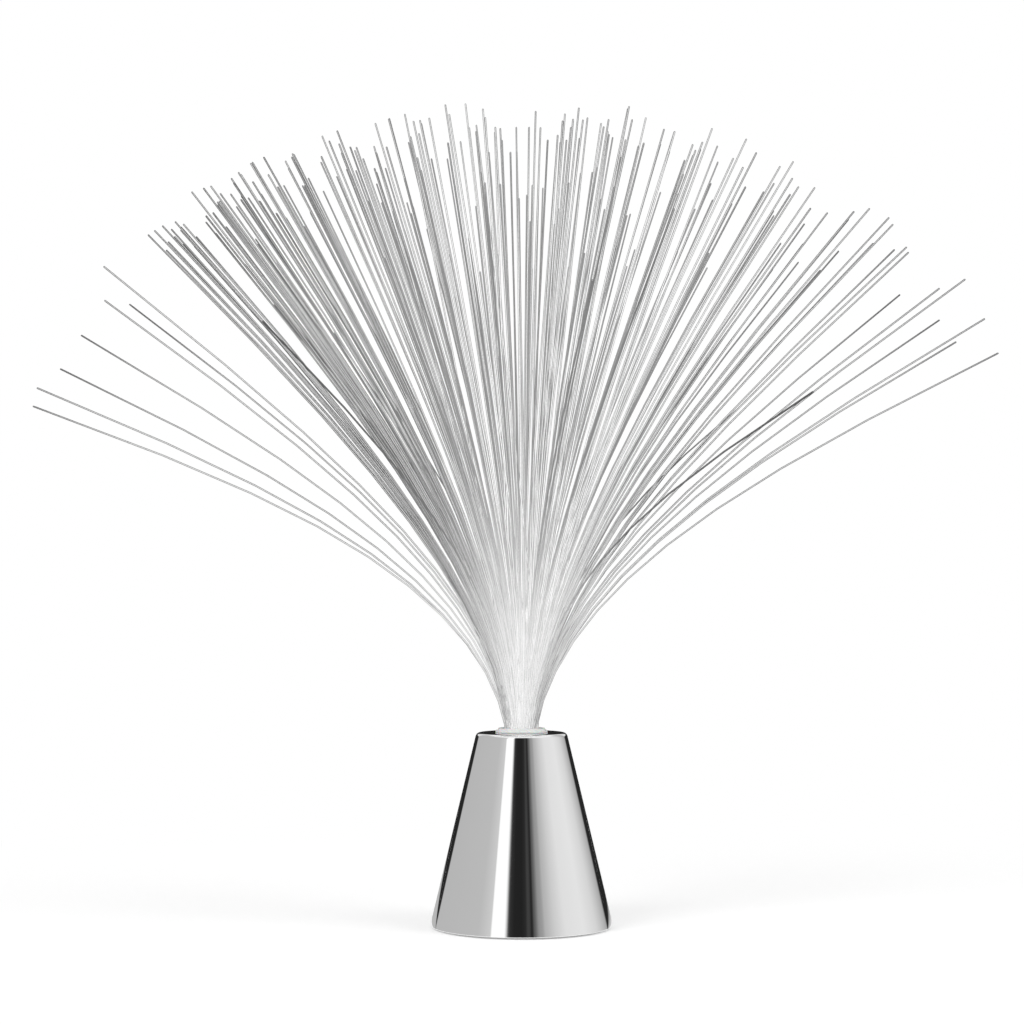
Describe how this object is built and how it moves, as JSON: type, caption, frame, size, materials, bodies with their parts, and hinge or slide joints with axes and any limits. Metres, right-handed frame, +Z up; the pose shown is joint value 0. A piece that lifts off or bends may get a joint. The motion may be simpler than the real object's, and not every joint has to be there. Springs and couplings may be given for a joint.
{
  "type": "fiber optic lamp",
  "caption": "Battery table lamp: a chrome cone holds a spray of clear light-guiding fibres that lifts out of a socket in its top.",
  "frame": {"origin": "on the floor, midway between the four feet", "axes": "+Z up along the cone's axis, -Y the front of the lamp, +X to the right of someone facing it"},
  "size_m": [0.4297, 0.4086, 0.3558],
  "materials": {
    "chrome_plate": "bright chrome plating on moulded plastic",
    "black_plastic": "fine moulded texture",
    "zinc_steel": "zinc plated",
    "foot_rubber": "matt",
    "cell_jacket": "printed film over a steel can",
    "contact_spring_steel": "nickel plated",
    "switch_plastic": "satin",
    "board_laminate": "green lacquer",
    "red_lens": "clear tinted",
    "green_lens": "clear tinted",
    "blue_lens": "clear tinted",
    "chip_resin": "matt",
    "resistor_lacquer": "lacquer",
    "red_insulation": "satin",
    "white_insulation": "satin",
    "black_insulation": "satin",
    "milky_plastic": "milky, lets light through",
    "tube_aluminium": "drawn",
    "clear_acrylic": "clear, polished ends"
  },
  "bodies": {
    "base": {"cone_shell": "chrome_plate", "floor_plate": "black_plastic", "plate_screws": "zinc_steel", "rubber_feet": "foot_rubber", "cell_1": "cell_jacket", "cell_2": "cell_jacket", "cell_3": "cell_jacket", "plus_contact": "contact_spring_steel", "minus_contact": "contact_spring_steel", "front_bridge": "contact_spring_steel", "rear_bridge": "contact_spring_steel", "switch_frame": "zinc_steel", "switch_body": "switch_plastic", "switch_screws": "zinc_steel", "light_board": "board_laminate", "board_screws": "zinc_steel", "led_red": "red_lens", "led_green": "green_lens", "led_blue": "blue_lens", "control_chip": "chip_resin", "resistors": "resistor_lacquer", "wire_plus": "red_insulation", "wire_switched": "white_insulation", "wire_minus": "black_insulation"},
    "spray": {"collar": "milky_plastic", "bundle_tube": "tube_aluminium", "bundle_core": "clear_acrylic", "fibres_inner": "clear_acrylic", "fibres_middle": "clear_acrylic", "fibres_outer": "clear_acrylic"},
    "door": {"battery_door": "black_plastic"},
    "switch_slider": {"switch_knob": "switch_plastic"}
  },
  "joints": [
    {"name": "spray_lift", "type": "slide", "parent": "base", "child": "spray", "axis": [0, 0, 1], "range_m": [0, 0.035]},
    {"name": "door_hinge", "type": "hinge", "parent": "base", "child": "door", "pos_m": [0, 0.02467, 0.0042], "axis": [1, 0, 0], "range_deg": [0, 95]},
    {"name": "switch_slide", "type": "slide", "parent": "base", "child": "switch_slider", "axis": [0, 1, 0], "range_m": [0, 0.003]}
  ]
}
